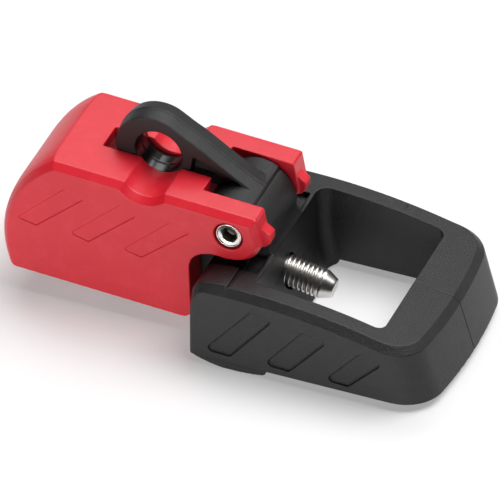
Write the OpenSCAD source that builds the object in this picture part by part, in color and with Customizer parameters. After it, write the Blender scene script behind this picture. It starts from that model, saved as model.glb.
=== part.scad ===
// Screw clamp lockout with a hinged cover and a shackle tab. Millimetres, +Z up.
// X runs along the object (cover to the left, toggle window to the right), Y across it.
// The inner numbers use a working frame: X = 0 at the window's left top edge, Z = 0 at the frame's
// underside. placed() moves everything so the origin is the centre of the bounding box's bottom.

/* [Frame] */
// Half of the frame's width
frame_hw = 28.3; // [27.6:0.1:28.6]
// Half of the toggle window's width
win_hw = 22; // [20:0.5:22.5]
// Window length at the top
win_len = 34.4; // [32:0.2:35]
// Height of the frame above its underside at the hinge end
frame_top = 22.4; // [22:0.1:22.8]
// Depth of the slanted panels in the frame's sides
panel_depth = 0.45; // [0.3:0.05:0.8]

/* [Shackle tab] */
// Radius of the shackle hole in the tab
shackle_r = 6.4; // [5:0.1:6.6]
// Tab thickness
tab_t = 7.8; // [7:0.1:7.8]

/* [Cover] */
// Half of the cover's width
cover_hw = 17.58; // [17.2:0.02:17.9]
// Closed angle of the cover against the frame, left end up
cover_tilt = 3.37; // [2.8:0.01:4]
// Side wall thickness
wall_t = 2.4; // [1.8:0.1:3]
// Depth of the slanted outlines on the cover's sides
mark_depth = 0.3; // [0.2:0.05:0.5]

/* [Screw] */
// Nominal thread diameter of the clamp screw
screw_d = 8; // [7.8:0.1:8]
// Thread pitch
screw_pitch = 1.25; // [1:0.25:1.5]
// Downward angle of the screw towards the window
screw_tilt = 10.5; // [10:0.1:11]
// Radius of the thumb dial
dial_r = 9.2; // [8.5:0.1:9.3]

/* [Hidden] */
shift_x = 10.6365;
shift_z = 2.15;
pin_x = -9.3;
pin_z = 31.15;
pin_r = 2.5;
run = 0.05;            // running clearance of the hinge pin in the frame
head_r = 3.55;
cbore_r = 4.0;
ear_in = 9.8;
neck_hw = 9.5;
boss_x = -22.4;        // left end of the screw's boss, between the cover's legs
hump = [-11.2, 26.6];
hump_r = 10.2;
tab_c = [-35.5, 41.3];
tab_R = 10.6;
hole_c = [-33.85, 41.15];
groove_c = [-33.2, 41.6];
groove_r = 6.95;
slot_hw = 4.2;
slot_x0 = -49.25;
slot_x1 = -19.5;
cover_top = 37.3;
in_hw = cover_hw - wall_t;
screw_r = screw_d / 2;
core_r = screw_r - 0.6134 * screw_pitch;
a_tip = 13.1;          // stations along the screw's axis, from the point at X = 0
a_point = 10.2;
a_nut0 = -22.2;
a_nut1 = -12.2;
a_dial1 = -34.0;
a_dial0 = -45.0;
a_tail = -45.0;
nut_af = 13;

black = [0.16, 0.16, 0.17];
red = [0.80, 0.12, 0.15];
steel = [0.72, 0.73, 0.74];
brass = [0.75, 0.6, 0.3];

// ---------- helpers ----------
function unit(v) = v / norm(v);
// polygon with rounded corners: p points, r one radius for every corner
function rcorner(a, b, c, r, n) =
    let (u = unit(a - b), v = unit(c - b), h = acos(max(-1, min(1, u * v))) / 2)
    h > 88.5 || r <= 0 ? [b] :
    let (d = min(r / tan(h), 0.48 * norm(a - b), 0.48 * norm(c - b)), rr = d * tan(h),
         m = unit(u + v), o = b + m * rr / sin(h),
         p0 = b + u * d, p1 = b + v * d,
         a0 = atan2(p0.y - o.y, p0.x - o.x), a1 = atan2(p1.y - o.y, p1.x - o.x),
         s = a1 - a0 > 180 ? a1 - a0 - 360 : (a1 - a0 < -180 ? a1 - a0 + 360 : a1 - a0))
    [for (i = [0 : n]) o + rr * [cos(a0 + s * i / n), sin(a0 + s * i / n)]];
function rpoly(p, r, n = 5) =
    [for (i = [0 : len(p) - 1]) each rcorner(p[(i + len(p) - 1) % len(p)], p[i], p[(i + 1) % len(p)],
        is_list(r) ? r[i] : r, n)];
function smooth(t) = let (c = max(0, min(1, t))) c * c * (3 - 2 * c);

// skins a list of rings, each the same count of 3-D points; the end caps are split into the
// strips given by "cap" (lists of indices into a ring), or kept whole
module skin(rings, cap = [], flip = false) {
    n = len(rings[0]);
    m = len(rings);
    c = len(cap) == 0 ? [[for (i = [0 : n - 1]) i]] : cap;
    f = concat(
        [for (k = [0 : m - 2]) for (i = [0 : n - 1])
            let (a = k * n + i, b = k * n + (i + 1) % n, d = (k + 1) * n + i, e = (k + 1) * n + (i + 1) % n)
            each [[a, b, e], [a, e, d]]],
        [for (q = c) [for (i = [len(q) - 1 : -1 : 0]) q[i]]],
        [for (q = c) [for (i = q) (m - 1) * n + i]]);
    polyhedron(points = [for (r = rings) each r],
        faces = flip ? f : [for (t = f) [for (i = [len(t) - 1 : -1 : 0]) t[i]]], convexity = 6);
}
// profile in X and Z, given thickness along Y from y0 to y1
module slab(p, y0, y1) {
    translate([0, y1, 0]) rotate([90, 0, 0]) linear_extrude(height = y1 - y0) polygon(p);
}
module rod_y(x, z, r, y0, y1) {
    translate([x, y1, z]) rotate([90, 0, 0]) cylinder(r = r, h = y1 - y0, $fn = 96);
}
module placed() { translate([shift_x, 0, shift_z]) children(); }
module on_screw() { translate([0, 0, 11.0]) rotate([0, 90 + screw_tilt, 0]) children(); }
module tilted() {
    translate([pin_x, 0, pin_z]) rotate([0, cover_tilt, 0]) translate([-pin_x, 0, -pin_z]) children();
}

// ---------- frame ----------
// top of the frame along X
function arc_top(x) = frame_top - pow(x + 5.5, 2) / 320;
function top_z(x) = x > 35 ? arc_top(35) - 0.178 * (x - 35)
    : x < -12.1 ? arc_top(x) - (3.2 - sqrt(max(0, 3.2 * 3.2 - pow(-12.1 - x, 2)))) : arc_top(x);
// one level of the outside: end at xe, half width hw, corner radius rc; returns [x, y] stations
bow_r = 150;
side_x = [-13.3, -12.6, -11.8, -10.8, -9.4, -7.8, -6.5, -5.95, -5.85, -4, -1, 2, 5, 8, 11, 14, 17, 20, 23, 26, 29, 32, 34.6];
// the shoulder behind the mould's shut-off step stands a little proud
function corner_z(x) = x > -11.2 ? 0 : 0.85 * (4 - sqrt(max(0, 16 - pow(-11.2 - x, 2))));
function step_z(x) = x > -5.9 || x < -13 ? 0 : 0.4 * smooth((x + 13) / 5);
function level(xe, hw, rc) =
    let (b = atan((hw - rc) / bow_r), yb = hw - rc + rc * sin(b), xc = xe - yb * yb / (2 * bow_r) - rc * cos(b))
    concat(
        [for (i = [0 : 5]) let (t = 180 - 18 * i) [-14.4 + 1.4 * cos(t), hw - 1.4 + 1.4 * sin(t)]],
        [for (x = side_x) [x, hw]],
        [for (i = [0 : 14]) let (t = 90 - (90 - b) * i / 14) [xc + rc * cos(t), hw - rc + rc * sin(t)]],
        [for (i = [1 : 6]) let (y = yb * (1 - i / 6.3)) [xe - y * y / (2 * bow_r), y]]);
L0 = level(50.9, frame_hw, 10.5);
L1 = level(46.8, frame_hw, 9.6);
L2 = level(44.9, frame_hw - 1.9, 7.8);
module frame_outside() {
    skin([for (i = [0 : len(L0) - 1])
        let (x0 = L0[i].x, x1 = L1[i].x, x2 = L2[i].x, y0 = L0[i].y, y1 = L1[i].y, y2 = L2[i].y,
             z2 = top_z(x2) + step_z(x2), z1 = top_z(x2) - 1.9 - corner_z(x2))
        [[x0, -y0, 0], [x1, -y1, z1], [x2, -y2, z2], [x2, y2, z2], [x1, y1, z1], [x0, y0, 0]]],
        cap = [[0, 1, 4, 5], [1, 2, 3, 4]], flip = true);
}
foot = [[-14.2, 1], [-14.2, -0.35], [-12.4, -0.95], [-10.4, -1.5], [-8.5, -1.92], [-6.8, -2.15], [-1.4, -2.15],
        [1, -1.98], [3, -1.75], [4.5, -1.5], [5.1, -1.0], [5.1, 1]];
module window_cut() {
    zs = [-4, -2.2, -0.5, 1.5, 3.5, 5.5, 8, 10.5, 13.5, 17, 22, 26];
    skin([for (z = zs)
        let (w = z > frame_top ? 0 : 5.6 * pow((frame_top - z) / 24.1, 2.8), we = 0.58 * w, rr = 2.4, rl = 3.2, rf = 1)
        concat(
            [for (i = [0 : 6]) let (t = -90 + 15 * i) [win_len - rr + rr * cos(t), -win_hw + rr + rr * sin(t), z]],
            [for (i = [0 : 6]) let (t = 15 * i) [win_len - rr + rr * cos(t), win_hw - rr + rr * sin(t), z]],
            [for (i = [0 : 8]) let (t = 90 + 11.25 * i) [we + rl + rl * cos(t), win_hw - rl + rl * sin(t), z]],
            [for (i = [1 : 12]) let (y = win_hw - rl - (2 * win_hw - rl - rf) * i / 13) [we + (w - we) * (1 - smooth((abs(y) - 11) / 6)), y, z]],
            [for (i = [0 : 8]) let (t = 180 + 11.25 * i) [we + rf + rf * cos(t), -win_hw + rf + rf * sin(t), z]])]);
}
// slanted panel outlines on the frame's sides
frame_panels = [
    [[-11.5, 2.4], [-4.5, 2.0], [7.2, 16.7], [1.0, 17.6]],
    [[4.8, 2.3], [11.6, 1.9], [21.9, 14.1], [15.0, 15.2]],
    [[21.2, 2.1], [27.6, 1.8], [36.9, 11.5], [30.7, 13.1]]];
module neck() {
    // barrel crown between the ears, with the mould's shut-off step at X = -5.9
    intersection() {
        union() {
            intersection() {
                rod_y(hump.x, hump.y, hump_r, -neck_hw, neck_hw);
                translate([-30, -12, 16]) cube([24.1, 24, 30]);
            }
            intersection() {
                rod_y(hump.x, hump.y, hump_r - 0.35, -neck_hw, neck_hw);
                translate([-6.5, -12, 16]) cube([12, 24, 30]);
            }
            slab([[-15.4, 14], [-15.4, 28], [-6, 28], [-1.55, 26], [-1.4, 24.6], [-0.85, 23.3], [0, 22.2], [0, 14]], -neck_hw, neck_hw);
        }
        union() {
            rod_y(pin_x, pin_z, 9.6, -neck_hw, neck_hw);
            translate([-15.4, -neck_hw, 10]) cube([20, 2 * neck_hw, 17]);
        }
    }
}
function tab_ring(o, y) =
    let (r = tab_R - o, a0 = 59.5, a1 = 314)
    concat([for (i = [0 : 40]) let (a = a0 + (a1 - a0) * i / 40) [tab_c.x + r * cos(a), y, tab_c.y + r * sin(a)]],
        [[-25.2 - o * 0.3, y, 36.4 + 0.3 * o], [-24.4, y, 42.0 + 0.4 * o], [-18.8, y, 39.95 + 0.4 * o], [-13.5, y, 37.85 + 0.4 * o], [-11.6, y, 37.05 + 0.4 * o],
         [-10.6, y, 34.6], [-6.2, y, 33.9], [-5.95, y, 35.5 - 0.8 * o], [-10.4, y, 38.15 - o], [-15.9, y, 41.6 - 1.1 * o], [-18.7, y, 43.5 - 1.15 * o],
         [-21.4, y, 45.3 - 1.15 * o], [-24.1, y, 46.95 - 1.15 * o], [-26.9, y, 48.45 - 1.15 * o]]);
module tab() {
    skin([tab_ring(0.42, tab_t / 2), tab_ring(0.2, tab_t / 4), tab_ring(0, 0.12), tab_ring(0, -0.12), tab_ring(0.26, -tab_t / 4), tab_ring(0.52, -tab_t / 2)]);
    // thin web under the arm
    slab([[-26.5, 43], [-26.5, 33.6], [-16, 33.6], [-9, 31], [-7, 34.5], [-19, 40.9]], -1.5, 1.5);
}
module clamp_frame() {
    color(black) placed() difference() {
        union() {
            difference() {
                union() {
                    frame_outside();
                    slab(foot, -frame_hw + 0.15, frame_hw - 0.15);
                }
                window_cut();
                // relief under the ear ends
                for (s = [0, 1]) mirror([0, s, 0]) translate([-16, neck_hw, 20.55]) cube([14.8, 18.1 - neck_hw, 10]);
            }
            neck();
            tab();
            slab(rpoly([[boss_x, 25.6], [boss_x, 4.2], [-14, 1.4], [-12, 12], [-12, 27.5], [-17.5, 27.5]], [1.2, 2, 0, 0, 0, 1], 4), -9.25, 9.25);
        }
        rod_y(hole_c.x, hole_c.y, shackle_r, -10, 10);
        rod_y(pin_x, pin_z, pin_r + run, -20, 20);
        for (s = [-1, 1], p = frame_panels)
            slab(rpoly(p, 1.1), s > 0 ? frame_hw - panel_depth : -frame_hw - 1, s > 0 ? frame_hw + 1 : -frame_hw + panel_depth);
        on_screw() {
            translate([0, 0, a_nut1 - 0.1]) cylinder(r = screw_r + 0.5, h = 28, $fn = 64);
            translate([0, 0, a_nut0 - 12]) cylinder(r = nut_af / 2 / cos(30), h = 12 + a_nut1 - a_nut0, $fn = 6);
        }
    }
}
module thread_insert() {
    color(brass) placed() on_screw() difference() {
        translate([0, 0, a_nut0]) cylinder(r = nut_af / 2 / cos(30), h = a_nut1 - a_nut0, $fn = 6);
        translate([0, 0, a_nut0 - 1]) cylinder(r = screw_r + 0.05, h = 14, $fn = 64);
    }
}

// ---------- cover ----------
// the left end is one arc about the Y axis, its side edges eased
end_c = [-40.9, 13];
end_r = 30.3;
right_end = [[-20.4, 1.6], [-19.45, 1.75], [-18.65, 2.2], [-18.1, 2.95], [-17.9, 3.9], [-17.95, 5], [-18.5, 10], [-19.1, 16.8], [-19.2, 18.6], [-18.7, 20.7], [-17.6, 22.1], [-16.2, 23.1], [-13.6, 24.0], [-11, 24.1], [-9.4, 23.85], [-7.5, 23.5],
             [-5.85, 23.6], [-4.4, 24.25], [-3.19, 25.25], [-2.3, 26.25], [-1.66, 27.3], [-1.15, 28.6], [-0.99, 29.8], [-1.3, 31.0], [-2.68, 36.75], [-3.1, 37.3]];
// the ears' outer edges are chamfered round the lobe: outline up to ear_y, and at the side face
ear_y = cover_hw - 2;
ear_full = [[-13, 38], [-2.9, 38], [-1.2, 31.0], [-0.9, 29.8], [-1.05, 28.6], [-1.56, 27.3], [-2.2, 26.2], [-3.1, 25.2], [-4.3, 24.2], [-5.8, 23.5], [-7.5, 23.2], [-13, 22.9]];
ear_side = [[-13, 38], [-4.5, 38], [-2.58, 31.0], [-2.22, 29.8], [-2.4, 28.6], [-2.85, 27.6], [-3.5, 26.7], [-4.3, 25.9], [-5.4, 25.2], [-6.8, 24.6], [-9.0, 24.2], [-13, 23.8]];
module end_drum(r, hw, soft) {
    translate([end_c.x, 0, end_c.y]) rotate([-90, 0, 0]) rotate_extrude($fn = 160) polygon(
        soft ? [[0, -hw], [r - 2.3, -hw], [r - 1.35, -hw + 0.75], [r - 0.6, -hw + 2], [r - 0.2, -hw + 4], [r, -hw + 7],
                [r, hw - 7], [r - 0.2, hw - 4], [r - 0.6, hw - 2], [r - 1.35, hw - 0.75], [r - 2.3, hw], [0, hw]]
             : [[0, -hw], [r, -hw], [r, hw], [0, hw]]);
}
module cover_outside() {
    difference() {
        intersection() {
            slab(concat([[-80, 37.3], [-80, 1.6]], right_end), -cover_hw, cover_hw);
            union() {
                end_drum(end_r, cover_hw, true);
                translate([end_c.x, -cover_hw, -10]) cube([60, 2 * cover_hw, 60]);
            }
            union() {
                translate([-80, -cover_hw - 1, -5]) cube([68, 2 * cover_hw + 2, 50]);
                hull() {
                    slab(ear_full, -ear_y, ear_y);
                    slab(ear_side, -cover_hw, cover_hw);
                }
            }
        }
        // eased top side edges
        for (s = [0, 1]) mirror([0, s, 0]) translate([-80, 0, 0]) rotate([90, 0, 90]) linear_extrude(height = 100)
            polygon([[cover_hw + 1, cover_top - 1.45 - 0.73], [cover_hw + 1, cover_top + 1], [cover_hw - 2, cover_top + 1], [cover_hw - 2, cover_top]]);
    }
}
module cavity() {
    intersection() {
        translate([-80, -in_hw, -5]) cube([55, 2 * in_hw, 38.9]);
        union() {
            end_drum(end_r - wall_t - 0.2, in_hw, false);
            translate([end_c.x, -in_hw, -20]) cube([20, 2 * in_hw, 60]);
        }
    }
}
cover_marks = [
    [[-66.4, 17.4], [-61.2, 16.6], [-53.8, 31.0], [-48.4, 29.6]],
    [[-51.7, 17.4], [-46.8, 16.3], [-38.8, 30.9], [-34.1, 29.2]],
    [[-37.3, 17.2], [-32.2, 16.4], [-25.2, 29.9], [-19.4, 29.0]]];
module cover() {
    color(red) placed() tilted() difference() {
        union() {
            difference() {
                cover_outside();
                cavity();
                // open between the two legs
                translate([-26, -ear_in, -5]) cube([40, 2 * ear_in, 38.9]);
            }
            // backing under the shackle groove and the bar at the slot's mouth
            intersection() {
                rod_y(groove_c.x, groove_c.y, groove_r + 2.3, -cover_hw + 1, cover_hw - 1);
                translate([-50, -in_hw - 0.3, 30]) cube([40, 2 * in_hw + 0.6, 5]);
            }
            for (s = [0, 1]) mirror([0, s, 0]) translate([-23.2, slot_hw, 31]) cube([3.7, ear_in - slot_hw + 0.5, 4]);
        }
        rod_y(groove_c.x, groove_c.y, groove_r, -30, 30);
        // chamfered mouths of the groove
        for (s = [-1, 1]) translate([groove_c.x, s * (cover_hw + 0.02), groove_c.y]) rotate([s * 90, 0, 0])
            cylinder(r1 = groove_r + 1.5, r2 = groove_r, h = 2.1, $fn = 96);
        translate([slot_x0, -slot_hw, 20]) cube([slot_x1 - slot_x0 + 1, 2 * slot_hw, 30]);
        translate([slot_x1, -ear_in, 20]) cube([40, 2 * ear_in, 30]);
        rod_y(pin_x, pin_z, pin_r, -30, 30);
        for (s = [-1, 1]) rod_y(pin_x, pin_z, cbore_r, s > 0 ? 14.2 : -30, s > 0 ? 30 : -14.2);
        for (s = [-1, 1]) for (p = cover_marks)
            slab(rpoly([p[0], p[1], p[3], p[2]], 0.6), s > 0 ? cover_hw - mark_depth : -30, s > 0 ? 30 : -cover_hw + mark_depth);
    }
    // small stops on the ear ends
    color(red) placed() tilted() for (s = [0, 1]) mirror([0, s, 0])
        slab(rpoly([[-2.6, 27.5], [-0.5, 28.0], [0.75, 29.7], [0.6, 32.0], [-2.6, 34.0]], [0, 0.5, 0.6, 0.6, 0], 4), 10.3, 13.6);
}

// ---------- hinge pin ----------
module hinge_screw() {
    color(steel) placed() tilted() difference() {
        union() {
            translate([pin_x, -14.2, pin_z]) rotate([90, 0, 0]) cylinder(r = head_r, h = 2.5, $fn = 96);
            translate([pin_x, -16.7, pin_z]) rotate([90, 0, 0]) cylinder(r1 = head_r, r2 = head_r - 0.45, h = 0.45, $fn = 96);
            rod_y(pin_x, pin_z, pin_r, -14.2, 16.2);
        }
        translate([pin_x, -14.6, pin_z]) rotate([90, 0, 0]) cylinder(r = 2.0 / cos(30), h = 6, $fn = 6);
        translate([pin_x, -16.35, pin_z]) rotate([90, 0, 0]) cylinder(r1 = 1.9, r2 = 2.75, h = 0.82, $fn = 96);
    }
}
module hinge_nut() {
    color(steel) placed() tilted() difference() {
        union() {
            rod_y(pin_x, pin_z, head_r, 14.2, 16.7);
            translate([pin_x, 17.15, pin_z]) rotate([90, 0, 0]) cylinder(r1 = head_r - 0.45, r2 = head_r, h = 0.45, $fn = 96);
        }
        rod_y(pin_x, pin_z, pin_r, 10, 16.2);
        translate([pin_x - 0.6, 16.6, pin_z - 2.4]) cube([1.2, 2, 4.8]);
    }
}

// ---------- screw and dial ----------
module clamp_screw() {
    color(steel) placed() on_screw() difference() {
        union() {
            rotate_extrude($fn = 48) polygon(concat(
                [[0, a_tail], [screw_r - 0.6, a_tail], [screw_r, a_tail + 0.6]],
                [for (i = [0 : 11]) let (a = a_point - 0.5 - (12 - i) * screw_pitch)
                    each [[screw_r, a], [core_r, a + screw_pitch * 0.44], [core_r, a + screw_pitch * 0.56], [screw_r, a + screw_pitch * 0.94]]],
                [[screw_r - 0.25, a_point], [screw_r - 0.45, a_tip - 1.4], [screw_r - 1.15, a_tip - 0.25], [screw_r - 1.6, a_tip], [0, a_tip]]));
        }
        // cross hole for the dial's pin
        translate([0, -6, (a_dial0 + a_dial1) / 2 - 2]) rotate([-90, 0, 0]) cylinder(r = 1.25, h = 12, $fn = 32);
    }
}
module thumb_dial() {
    color(black) placed() on_screw() difference() {
        union() {
            translate([0, 0, a_dial0]) cylinder(r = dial_r, h = a_dial1 - a_dial0 - 1.4, $fn = 96);
            translate([0, 0, a_dial1 - 1.4]) cylinder(r = 6, h = 1.4, $fn = 64);
        }
        translate([0, 0, a_dial0 - 1]) cylinder(r = screw_r, h = 20, $fn = 64);
        for (i = [0 : 11]) rotate([0, 0, 15 + 30 * i]) translate([dial_r + 1.0, 0, a_dial0 - 1]) cylinder(r = 1.7, h = 20, $fn = 32);
        translate([0, -6.4, (a_dial0 + a_dial1) / 2 - 2]) rotate([-90, 0, 0]) cylinder(r = 1.25, h = 12.8, $fn = 32);
    }
}
module dial_pin() {
    color(steel) placed() on_screw() translate([0, -6, (a_dial0 + a_dial1) / 2 - 2]) rotate([-90, 0, 0]) cylinder(r = 1.25, h = 12, $fn = 32);
}
module dial_washer() {
    color(steel) placed() on_screw() difference() {
        translate([0, 0, a_dial1]) cylinder(r = 7.5, h = 1.5, $fn = 64);
        translate([0, 0, a_dial1 - 1]) cylinder(r = screw_r + 0.3, h = 4, $fn = 64);
    }
}

clamp_frame();
thread_insert();
cover();
hinge_screw();
hinge_nut();
clamp_screw();
thumb_dial();
dial_pin();
dial_washer();
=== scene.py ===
import math

import bmesh
import bpy
import numpy as np
from mathutils import Matrix, Vector


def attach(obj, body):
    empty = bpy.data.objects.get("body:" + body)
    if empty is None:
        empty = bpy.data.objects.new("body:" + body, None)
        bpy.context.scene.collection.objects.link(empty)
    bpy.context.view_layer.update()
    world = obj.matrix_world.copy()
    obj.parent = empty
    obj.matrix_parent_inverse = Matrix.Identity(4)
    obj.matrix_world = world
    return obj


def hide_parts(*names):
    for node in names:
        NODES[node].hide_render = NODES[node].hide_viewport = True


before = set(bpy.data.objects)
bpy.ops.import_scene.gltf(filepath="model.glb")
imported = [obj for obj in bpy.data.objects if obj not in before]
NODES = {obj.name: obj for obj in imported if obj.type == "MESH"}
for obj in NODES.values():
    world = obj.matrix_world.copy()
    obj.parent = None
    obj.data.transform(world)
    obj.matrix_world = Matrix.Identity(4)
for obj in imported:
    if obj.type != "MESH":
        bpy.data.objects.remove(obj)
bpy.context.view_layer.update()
MM = 0.001
SX, SZ = 10.6365, 2.15  # the CAD's working frame to the row frame, in mm
scene = bpy.context.scene


def link(ob):
    scene.collection.objects.link(ob)
    return ob


def new_mesh(name, verts, faces, smooth=True):
    me = bpy.data.meshes.new(name)
    me.from_pydata([tuple(v) for v in verts], [], faces)
    me.validate()
    me.update()
    if smooth:
        me.shade_smooth()
    return link(bpy.data.objects.new(name, me))


# ---------------------------------------------------------------- materials
class Tree:
    """A small helper to write a node tree."""

    def __init__(self, name):
        self.mat = bpy.data.materials.new(name)
        self.mat.use_nodes = True
        self.nt = self.mat.node_tree
        self.bsdf = self.nt.nodes["Principled BSDF"]
        self.coord = self.add("ShaderNodeTexCoord").outputs["Object"]

    def add(self, kind, **props):
        n = self.nt.nodes.new(kind)
        for k, v in props.items():
            setattr(n, k, v)
        return n

    def put(self, sock, value):
        if isinstance(value, bpy.types.NodeSocket):
            self.nt.links.new(value, sock)
        else:
            sock.default_value = value

    def math(self, op, a, b=0.0, c=None, clamp=False):
        n = self.add("ShaderNodeMath", operation=op, use_clamp=clamp)
        self.put(n.inputs[0], a)
        self.put(n.inputs[1], b)
        if c is not None:
            self.put(n.inputs[2], c)
        return n.outputs[0]

    def noise(self, scale, detail=3.0, rough=0.55, coord=None, dist=0.0):
        n = self.add("ShaderNodeTexNoise", noise_dimensions="3D")
        self.put(n.inputs["Vector"], coord or self.coord)
        self.put(n.inputs["Scale"], scale)
        self.put(n.inputs["Detail"], detail)
        self.put(n.inputs["Roughness"], rough)
        self.put(n.inputs["Distortion"], dist)
        return n.outputs[0]

    def ramp(self, fac, lo, hi, a=0.0, b=1.0):
        n = self.add("ShaderNodeMapRange", interpolation_type="SMOOTHSTEP")
        self.put(n.inputs[0], fac)
        for i, v in ((1, lo), (2, hi), (3, a), (4, b)):
            self.put(n.inputs[i], v)
        return n.outputs[0]

    def mix(self, fac, a, b):
        n = self.add("ShaderNodeMix", data_type="RGBA")
        self.put(n.inputs[0], fac)
        self.put(n.inputs[6], a)
        self.put(n.inputs[7], b)
        return n.outputs[2]

    def bump(self, height, strength, distance, normal=None):
        n = self.add("ShaderNodeBump")
        self.put(n.inputs["Height"], height)
        self.put(n.inputs["Strength"], strength)
        self.put(n.inputs["Distance"], distance)
        if normal is not None:
            self.put(n.inputs["Normal"], normal)
        return n.outputs[0]

    def edge_wear_and_highlight(self, lo=0.53, hi=0.62):
        """1 along convex edges, broken up by noise; it marks where edges are lightened, partly as wear and partly as a
        painted edge highlight.
        """
        p = self.add("ShaderNodeNewGeometry").outputs["Pointiness"]
        n = self.noise(420.0, 4.0, 0.6)
        p = self.math("ADD", p, self.math("MULTIPLY", self.math("SUBTRACT", n, 0.5), 0.06))
        return self.ramp(p, lo, hi)


def plastic(name, base, light, dark, rough, grain, edge_wear_and_highlight, spec=0.5, depth=0.00009):
    """A moulded plastic: fine spark-erosion grain, faint flow and sink variation, paler edges that are partly wear and
    partly a painted edge highlight.
    """
    t = Tree(name)
    big = t.noise(28.0, 3.0, 0.6)
    mid = t.noise(260.0, 4.0, 0.6)
    fine = t.noise(2600.0, 3.0, 0.6)
    tiny = t.noise(6800.0, 2.0, 0.5)
    c = t.mix(t.ramp(big, 0.3, 0.7, 0.0, 1.0), (*dark, 1), (*base, 1))
    c = t.mix(t.ramp(mid, 0.45, 0.75, 0.0, 0.35), c, (*light, 1))
    w = t.edge_wear_and_highlight()
    # convex edges are mixed towards the light colour: partly paler wear, partly a painted edge highlight
    c = t.mix(t.math("MULTIPLY", w, edge_wear_and_highlight), c, (*light, 1))
    t.put(t.bsdf.inputs["Base Color"], c)
    r = t.math("ADD", rough, t.math("MULTIPLY", t.math("SUBTRACT", fine, 0.5), 0.16))
    r = t.math("ADD", r, t.math("MULTIPLY", t.math("SUBTRACT", big, 0.5), 0.10))
    r = t.math("SUBTRACT", r, t.math("MULTIPLY", w, 0.06), clamp=True)
    t.put(t.bsdf.inputs["Roughness"], r)
    nrm = t.bump(t.math("ADD", fine, t.math("MULTIPLY", tiny, 0.5)), grain, depth)
    nrm = t.bump(big, 0.10, 0.0006, nrm)
    t.put(t.bsdf.inputs["Normal"], nrm)
    t.bsdf.inputs["Specular IOR Level"].default_value = spec
    t.bsdf.inputs["IOR"].default_value = 1.53
    return t.mat


def metal(name, base, dark, rough, axis=None, stain=0.15):
    """Bright plated or turned metal: fine lathe lines about its axis, faint stains, lighter edges that are partly wear
    and partly a painted edge highlight.
    """
    t = Tree(name)
    coord = t.coord
    big = t.noise(160.0, 4.0, 0.6)
    fine = t.noise(3200.0, 3.0, 0.6)
    m = t.add("ShaderNodeMapping")
    t.put(m.inputs["Vector"], coord)
    if axis is not None:
        m.inputs["Rotation"].default_value = axis
    m.inputs["Scale"].default_value = (1.0, 1.0, 90.0)
    lines = t.noise(240.0, 2.0, 0.5, coord=m.outputs[0])
    c = t.mix(t.ramp(big, 0.45, 0.8, 0.0, stain), (*base, 1), (*dark, 1))
    w = t.edge_wear_and_highlight(0.54, 0.64)
    # convex edges are mixed towards a brighter colour: partly wear, partly a painted edge highlight
    c = t.mix(t.math("MULTIPLY", w, 0.25), c, (min(1, base[0] * 1.1), min(1, base[1] * 1.1), min(1, base[2] * 1.1), 1))
    t.put(t.bsdf.inputs["Base Color"], c)
    t.bsdf.inputs["Metallic"].default_value = 1.0
    r = t.math("ADD", rough, t.math("MULTIPLY", t.math("SUBTRACT", lines, 0.5), 0.10))
    r = t.math("ADD", r, t.math("MULTIPLY", big, 0.05), clamp=True)
    t.put(t.bsdf.inputs["Roughness"], r)
    n = t.bump(lines, 0.12, 0.00002)
    n = t.bump(fine, 0.05, 0.00002, n)
    t.put(t.bsdf.inputs["Normal"], n)
    return t.mat


RED = plastic("red_moulding", (0.74, 0.013, 0.030), (0.82, 0.040, 0.060), (0.68, 0.010, 0.024), 0.40, 0.34, 0.20)
BLACK = plastic("black_moulding", (0.0045, 0.0045, 0.0048), (0.014, 0.014, 0.015), (0.003, 0.003, 0.0033), 0.42, 0.85, 0.35, depth=0.00018)
BLACK_BORE = plastic("black_polished_bore", (0.0045, 0.0045, 0.0048), (0.010, 0.010, 0.011), (0.003, 0.003, 0.0033), 0.24, 0.04, 0.1)
DIAL = plastic("dial_moulding", (0.022, 0.022, 0.024), (0.05, 0.05, 0.05), (0.016, 0.016, 0.018), 0.50, 0.40, 0.35)
NICKEL = metal("bright_nickel", (0.62, 0.61, 0.58), (0.36, 0.34, 0.30), 0.30, axis=(0.0, math.radians(-100.5), 0.0))
NICKEL_Y = metal("bright_nickel_pin", (0.84, 0.83, 0.80), (0.52, 0.49, 0.44), 0.20, axis=(math.radians(90), 0.0, 0.0))
# dark metal laid inside the pin's socket as painted shade of the recess
SOCKET_SHADE = metal("socket_painted_shade", (0.10, 0.09, 0.075), (0.03, 0.025, 0.02), 0.42, axis=(math.radians(90), 0.0, 0.0), stain=0.6)
ZINC = metal("zinc_plate", (0.62, 0.63, 0.64), (0.40, 0.40, 0.40), 0.28, axis=(0.0, math.radians(-100.5), 0.0))
BRASS = metal("turned_brass", (0.74, 0.55, 0.26), (0.42, 0.28, 0.12), 0.24, axis=(0.0, math.radians(-100.5), 0.0))


# ---------------------------------------------------------------- mouldings from the CAD solids
def edges_of(me):
    e = np.empty(len(me.edges) * 2, np.int64)
    me.edges.foreach_get("vertices", e)
    return e.reshape(-1, 2)


def relax(co, e, weight, rounds, lam=0.5, mu=-0.0):
    """Weighted Laplacian smoothing; weight is per vertex, 0 keeps it."""
    n = len(co)
    deg = np.bincount(e.ravel(), minlength=n).astype(float)[:, None]
    for k in range(rounds):
        for f in (lam, mu):
            if f == 0:
                continue
            s = np.empty_like(co)
            for i in range(3):
                s[:, i] = np.bincount(e[:, 0], co[e[:, 1], i], n) + np.bincount(e[:, 1], co[e[:, 0], i], n)
            co = co + (s / deg - co) * (f * weight[:, None])
    return co


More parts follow.
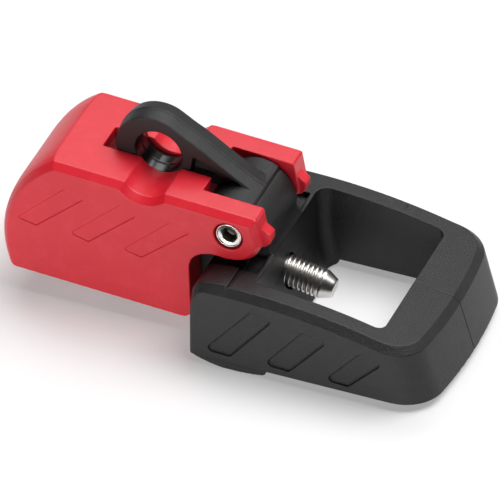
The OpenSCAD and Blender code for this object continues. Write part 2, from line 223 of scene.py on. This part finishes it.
def sd_quad(x, z, quad, r):
    """Signed distance in mm to a convex outline with corners rounded by r; negative inside."""
    q = np.array(quad, float)
    c = q.mean(0)
    area = 0.5 * sum(q[i, 0] * q[(i + 1) % 4, 1] - q[(i + 1) % 4, 0] * q[i, 1] for i in range(4))
    if area < 0:
        q = q[::-1]
    lines = []
    for i in range(4):
        a, b = q[i], q[(i + 1) % 4]
        u = (b - a) / np.linalg.norm(b - a)
        lines.append((a, np.array((u[1], -u[0]))))
    inner = []
    for i in range(4):
        (a, n0), (b, n1) = lines[i - 1], lines[i]
        m = np.array((n0, n1))
        inner.append(np.linalg.solve(m, np.array((n0 @ a - r, n1 @ b - r))))
    inner = np.array(inner)
    edge = np.full(x.shape, -1e9)
    far = np.full(x.shape, 1e9)
    for i in range(4):
        a, b = inner[i], inner[(i + 1) % 4]
        n = lines[i][1]
        edge = np.maximum(edge, (x - a[0]) * n[0] + (z - a[1]) * n[1])
        u = b - a
        t = np.clip(((x - a[0]) * u[0] + (z - a[1]) * u[1]) / (u @ u), 0, 1)
        far = np.minimum(far, np.hypot(x - a[0] - t * u[0], z - a[1] - t * u[1]))
    return np.where(edge < 0, edge, far) - r


def bell(d, w):
    return np.exp(-(d / w) ** 2)


def moulded(node, name, voxel, rounds, weight=None, target=190000, carve=None):
    """The CAD solid as one even skin with softly rounded edges; carve moves points for fine mould detail."""
    me = NODES[node].data.copy()
    ob = link(bpy.data.objects.new(name, me))
    w = ob.modifiers.new("weld", "WELD")
    w.merge_threshold = 1e-6
    r = ob.modifiers.new("skin", "REMESH")
    r.mode = "VOXEL"
    r.voxel_size = voxel
    r.use_smooth_shade = True
    bpy.context.view_layer.update()
    dg = bpy.context.evaluated_depsgraph_get()
    out = bpy.data.meshes.new_from_object(ob.evaluated_get(dg))
    ob.modifiers.clear()
    ob.data = out
    bpy.data.meshes.remove(me)
    n = len(out.vertices)
    co = np.empty(n * 3)
    out.vertices.foreach_get("co", co)
    co = co.reshape(-1, 3)
    e = edges_of(out)
    wt = np.ones(n) if weight is None else weight(co)
    co = relax(co, e, wt, rounds)
    if carve is not None:
        out.vertices.foreach_set("co", co.ravel())
        out.update()
        nr = np.empty(n * 3)
        out.vertices.foreach_get("normal", nr)
        co = carve(co / MM, nr.reshape(-1, 3)) * MM
    out.vertices.foreach_set("co", co.ravel())
    out.materials.clear()
    out.update()
    tris = 2 * len(out.polygons)
    if target and tris > target:
        d = ob.modifiers.new("thin", "DECIMATE")
        d.ratio = target / tris
        d.use_collapse_triangulate = True
        bpy.context.view_layer.update()
        dg = bpy.context.evaluated_depsgraph_get()
        thin = bpy.data.meshes.new_from_object(ob.evaluated_get(dg))
        ob.modifiers.clear()
        ob.data = thin
        bpy.data.meshes.remove(out)
        out = thin
    out.name = name
    out.shade_smooth()
    print(name, "triangles", tris, "kept", len(out.polygons))
    return ob


# The cover's own axes are turned about the hinge pin by its 3.37 degree opening.
PIN = np.array((-9.3 + SX, 31.15 + SZ))
TC, TS = math.cos(math.radians(3.37)), math.sin(math.radians(3.37))
COVER_MARKS = [[(-66.4, 17.4), (-61.2, 16.6), (-48.4, 29.6), (-53.8, 31.0)],
               [(-51.7, 17.4), (-46.8, 16.3), (-34.1, 29.2), (-38.8, 30.9)],
               [(-37.3, 17.2), (-32.2, 16.4), (-19.4, 29.0), (-25.2, 29.9)]]
PANELS = [[(-11.5, 2.4), (-4.5, 2.0), (7.2, 16.7), (1.0, 17.6)],
          [(4.8, 2.3), (11.6, 1.9), (21.9, 14.1), (15.0, 15.2)],
          [(21.2, 2.1), (27.6, 1.8), (36.9, 11.5), (30.7, 13.1)]]


def carve_cover(co, nr):
    dx, dz = co[:, 0] - PIN[0], co[:, 2] - PIN[1]
    x = TC * dx - TS * dz - 9.3
    z = TS * dx + TC * dz + 31.15
    side = np.abs(co[:, 1]) > 17.0
    out = co.copy()
    for q in COVER_MARKS:
        d = sd_quad(x, z, q, 0.6)
        out[:, 1] -= np.where(side, np.sign(co[:, 1]) * 0.15 * bell(d + 0.08, 0.16), 0.0)
    return out


def carve_frame(co, nr):
    x, y, z = co[:, 0] - SX, co[:, 1], co[:, 2] - SZ
    out = co.copy()
    # the panels' edges are cut a little deeper than their floor
    side = np.abs(y) > 27.4
    for q in PANELS:
        d = sd_quad(x, z, q, 1.1)
        out[:, 1] -= np.where(side, np.sign(y) * 0.24 * bell(d + 0.10, 0.15), 0.0)
    # draft of the shackle hole, narrowest at the parting plane
    rx, rz = x + 33.85, z - 41.15
    rad = np.hypot(rx, rz)
    wall = (rad < 6.9) & (np.abs(y) < 4.1)
    k = np.where(wall, np.where(y < 0, 0.34 * np.clip(1 + y / 3.9, 0, 1), 0.34) * np.clip((6.9 - rad) / 0.35, 0, 1), 0.0)
    out[:, 0] -= k * rx / np.maximum(rad, 1)
    out[:, 2] -= k * rz / np.maximum(rad, 1)
    # witness line of the two mould halves, on skins that lie across the parting plane
    across = np.clip(1.0 - 2.0 * np.abs(nr[:, 1]), 0, 1)
    where = (x > 30) | ((x < -6.2) & (z > 33.5))
    g = np.where(where, 0.20 * across * bell(y, 0.17), 0.0)
    out -= nr * g[:, None]
    # shut-off seam over the crown and the shoulder
    crown = (z > 33.0) & (np.abs(y) < 9.9) & (x > -7.5) & (x < -4.5)
    out[:, 2] -= np.where(crown, 0.60 * bell(x + 6.0, 0.18), 0.0)
    ledge = (z > 20.5) & (z < 25) & (np.abs(y) > 9.4) & (np.abs(y) < 26.2) & (x > -8)
    out[:, 2] -= np.where(ledge, 0.42 * bell(x + 5.75, 0.18), 0.0)
    return out


V = 0.17
cover = moulded("cover", "cover_moulding", V * MM, 4, carve=carve_cover)
cover.data.materials.append(RED)
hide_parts("cover")
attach(cover, "cover")

body = moulded("clamp_frame", "frame_moulding", (0.145) * MM, 5, carve=carve_frame, target=196000)
body.data.materials.append(BLACK)
body.data.materials.append(BLACK_BORE)


def polished_bores(me):
    """The shackle hole is formed by a polished core pin, so its wall is glossy."""
    n = len(me.polygons)
    c = np.empty(n * 3)
    me.polygons.foreach_get("center", c)
    c = c.reshape(-1, 3) / MM
    nr = np.empty(n * 3)
    me.polygons.foreach_get("normal", nr)
    nr = nr.reshape(-1, 3)
    rx, rz = c[:, 0] - SX + 33.85, c[:, 2] - SZ - 41.15
    rad = np.maximum(np.hypot(rx, rz), 1e-6)
    inward = -(nr[:, 0] * rx + nr[:, 2] * rz) / rad
    idx = ((rad < 6.7) & (np.abs(c[:, 1]) < 3.85) & (inward > 0.6)).astype(np.int32)
    me.polygons.foreach_set("material_index", idx)
    me.update()


polished_bores(body.data)
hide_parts("clamp_frame")
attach(body, "frame")

# ---------------------------------------------------------------- clamp screw with a real helix
TILT = math.radians(10.5)
AX = Vector((math.cos(TILT), 0.0, -math.sin(TILT)))
E1 = Vector((math.sin(TILT), 0.0, math.cos(TILT)))
E2 = Vector(AX.cross(E1))


def on_axis(a, r, th):
    """A point at station a (mm), radius r, angle th about the screw's axis; right handed about AX."""
    c = Vector((SX, 0.0, SZ + 11.0))
    p = c + AX * a + E1 * (r * math.cos(th)) + E2 * (r * math.sin(th))
    return (p.x * MM, p.y * MM, p.z * MM)


def screw_mesh(name):
    pitch, R = 1.25, 4.0
    core = R - 0.6134 * pitch
    n = 72
    prof = [(-45.0, 0.0), (-45.0, R - 0.6), (-44.4, R)]
    th0, th1 = -32.0, 10.6
    a = -44.4
    st = []
    while a < 9.9:
        st.append(a)
        a += pitch / 14
    verts, faces = [], []
    rings = []

    def ring(fn):
        base = len(verts)
        for k in range(n):
            th = 2 * math.pi * k / n
            aa, rr = fn(th)
            verts.append(on_axis(aa, rr, th))
        rings.append(base)

    ring(lambda th: (-45.0, R - 0.6))
    for a in st:
        def f(th, a=a):
            ph = ((a - pitch * th / (2 * math.pi)) / pitch) % 1.0
            d = abs(ph - 0.5) * 2  # 0 at the root, 1 at the crest
            cut = min(1.0, max(0.0, (d - 0.06) / 0.66))
            cut = math.sin(cut * math.pi / 2) ** 0.9
            r = core + (R - core) * cut
            fade = min(1.0, max(0.0, (9.7 - a) / 1.3)) * min(1.0, max(0.0, (a + 31.0) / 2.0))
            plain = R - 0.16 if a > 0 else R - 0.02
            return a, plain + (r - plain) * fade
        ring(f)
    for a, r in ((9.95, R - 0.14), (10.1, R - 0.16), (10.25, R - 0.22), (10.6, R - 0.38), (11.4, R - 0.75), (12.2, R - 1.12), (12.75, R - 1.37), (12.93, R - 1.47), (13.04, R - 1.60), (13.09, R - 1.74), (13.1, R - 2.0)):
        ring(lambda th, a=a, r=r: (a, r))
    for p, q in zip(rings, rings[1:]):
        for k in range(n):
            k2 = (k + 1) % n
            faces.append((p + k, p + k2, q + k2, q + k))
    for base, aa, flip in ((rings[0], -45.0, False), (rings[-1], 13.1, True)):
        c = len(verts)
        verts.append(on_axis(aa, 0.0, 0.0))
        for k in range(n):
            k2 = (k + 1) % n
            faces.append((c, base + k, base + k2) if flip else (c, base + k2, base + k))
    ob = new_mesh(name, verts, faces)
    return ob


screw = screw_mesh("screw_thread")
screw.data.materials.append(NICKEL)
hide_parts("clamp_screw")
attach(screw, "screw")


# ---------------------------------------------------------------- hinge pin with its socket
def lathe_y(name, prof, n=96, hexed=()):
    """Rings about the hinge axis; prof is (y, r) from the head to the tail; rings in hexed are hexagons of that across-corner radius."""
    verts, faces = [], []
    for i, (y, r) in enumerate(prof):
        for k in range(n):
            a = 2 * math.pi * k / n
            rr = r
            if i in hexed:
                b = (a + math.pi / 6) % (math.pi / 3) - math.pi / 6
                rr = min(r * math.cos(math.pi / 6) / math.cos(b), r * 0.985)
            verts.append(((PIN[0] + rr * math.cos(a)) * MM, y * MM, (PIN[1] + rr * math.sin(a)) * MM))
    for i in range(len(prof) - 1):
        for k in range(n):
            k2 = (k + 1) % n
            faces.append((i * n + k, i * n + k2, (i + 1) * n + k2, (i + 1) * n + k))
    for i, flip in ((0, True), (len(prof) - 1, False)):
        c = len(verts)
        verts.append((PIN[0] * MM, prof[i][0] * MM, PIN[1] * MM))
        for k in range(n):
            k2 = (k + 1) % n
            faces.append((c, i * n + k2, i * n + k) if flip else (c, i * n + k, i * n + k2))
    ob = new_mesh(name, verts, faces)
    bm = bmesh.new()
    bm.from_mesh(ob.data)
    bmesh.ops.recalc_face_normals(bm, faces=bm.faces)
    bm.to_mesh(ob.data)
    bm.free()
    return ob


def pin_piece(name, tail):
    """Dished head at the front, starting at the socket's floor, then the shank."""
    pr = [(-14.0, 0.9), (-14.02, 2.00), (-14.1, 2.04), (-16.35, 2.06), (-16.5, 2.14), (-16.62, 2.26)]
    hexed = (1, 2, 3)
    pr += [(-16.66, 2.34), (-16.72, 2.55), (-16.80, 2.85), (-16.84, 2.98), (-16.86, 3.03), (-16.98, 3.07), (-17.09, 3.13), (-17.14, 3.22), (-17.13, 3.31)]
    pr += [(-17.06, 3.41), (-16.94, 3.49), (-16.75, 3.54), (-16.5, 3.55), (-14.4, 3.55), (-14.25, 3.50), (-14.2, 3.35)]
    pr += tail
    return lathe_y(name, pr, 96, hexed)


def shade_socket(ob):
    """The socket's inside is a dark metal as painted shade of the recess, the head is bright."""
    ob.data.materials.append(NICKEL_Y)
    ob.data.materials.append(SOCKET_SHADE)
    for p in ob.data.polygons:
        c = p.center
        r = math.hypot(c.x / MM - PIN[0], c.z / MM - PIN[1])
        # faces inside the socket get the dark metal: painted shade of the recess
        p.material_index = 1 if r < 2.11 and -16.45 < c.y / MM < -13.8 else 0


pin = pin_piece("hinge_pin_screw", [(-14.19, 2.5), (15.9, 2.5), (16.15, 2.3), (16.2, 2.1)])
shade_socket(pin)
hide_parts("hinge_screw")
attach(pin, "cover")

# ---------------------------------------------------------------- small CAD nodes: bevelled, own materials
def dress(node, mat, width, seg=3):
    ob = NODES[node]
    ob.data.materials.clear() if False else None
    for s in ob.material_slots:
        s.link = "OBJECT"
        s.material = mat
    w = ob.modifiers.new("weld", "WELD")
    w.merge_threshold = 1e-6
    if width > 0:
        b = ob.modifiers.new("bevel", "BEVEL")
        b.width = width * MM
        b.segments = seg
        b.limit_method = "ANGLE"
        b.angle_limit = math.radians(35)
        b.harden_normals = False
    return ob


dress("thread_insert", BRASS, 0.18)
dress("hinge_nut", NICKEL_Y, 0.10)
dress("thumb_dial", DIAL, 0.30)
dress("dial_pin", ZINC, 0.10)
dress("dial_washer", ZINC, 0.15)

# ---------------------------------------------------------------- floor, lights, camera
fm = Tree("floor_paper")
g = fm.noise(3.0, 2.0, 0.5)
fm.put(fm.bsdf.inputs["Base Color"], fm.mix(g, (0.62, 0.62, 0.62, 1), (0.65, 0.65, 0.65, 1)))
fm.bsdf.inputs["Roughness"].default_value = 0.8
fm.bsdf.inputs["Specular IOR Level"].default_value = 0.1
fm.bsdf.inputs["Emission Color"].default_value = (1.0, 1.0, 1.0, 1)
fm.bsdf.inputs["Emission Strength"].default_value = 0.32
floor = new_mesh("floor", [(-4, -4, -0.0002), (4, -4, -0.0002), (4, 4, -0.0002), (-4, 4, -0.0002)], [(0, 1, 2, 3)], False)
floor.data.materials.append(fm.mat)

TARGET = Vector((-0.002, 0.004, 0.013))


def softbox(name, direction, dist, size, power, size_y=None, color=(1, 1, 1)):
    li = bpy.data.lights.new(name, "AREA")
    li.shape = "RECTANGLE"
    li.size = size
    li.size_y = size_y or size
    li.energy = power
    li.color = color
    ob = link(bpy.data.objects.new(name, li))
    d = Vector(direction).normalized()
    ob.location = TARGET + d * dist
    ob.rotation_mode = "QUATERNION"
    ob.rotation_quaternion = d.to_track_quat("Z", "Y")
    return ob


softbox("back_box", (-0.30, 0.55, 0.85), 1.6, 1.2, 9.7, 0.7)
softbox("top_box", (0.35, 0.25, 1.0), 1.5, 1.1, 23.5)
softbox("front_low", (-0.1, -1.0, 0.12), 1.9, 1.6, 14.0, 0.25)
softbox("front_left", (-0.30, -0.61, 0.735), 1.8, 0.8, 0.5)

world = bpy.data.worlds.new("studio")
scene.world = world
world.use_nodes = True
world.node_tree.nodes["Background"].inputs["Color"].default_value = (0.9, 0.92, 0.95, 1)
world.node_tree.nodes["Background"].inputs["Strength"].default_value = 0.015

cd = bpy.data.cameras.new("camera")
cd.sensor_width = 36.0
cd.sensor_fit = "HORIZONTAL"
cd.lens = 774.9
cd.clip_start, cd.clip_end = 0.05, 20.0
cam = link(bpy.data.objects.new("camera", cd))
R_ = Vector((0.9268, 0.3756, 0.0))
U_ = Vector((-0.2286, 0.5641, 0.7934))
B_ = Vector((0.2980, -0.7353, 0.6087))
B_.normalize()
R_ = (R_ - B_ * R_.dot(B_)).normalized()
U_ = B_.cross(R_)
look = Vector((-0.00143, 0.00408, 0.01299))
pos = look + B_ * 2.7379
cam.matrix_world = Matrix(((R_.x, U_.x, B_.x, pos.x), (R_.y, U_.y, B_.y, pos.y), (R_.z, U_.z, B_.z, pos.z), (0, 0, 0, 1)))
scene.camera = cam

scene.view_settings.view_transform = "Standard"
scene.view_settings.look = "None"

bpy.context.view_layer.update()
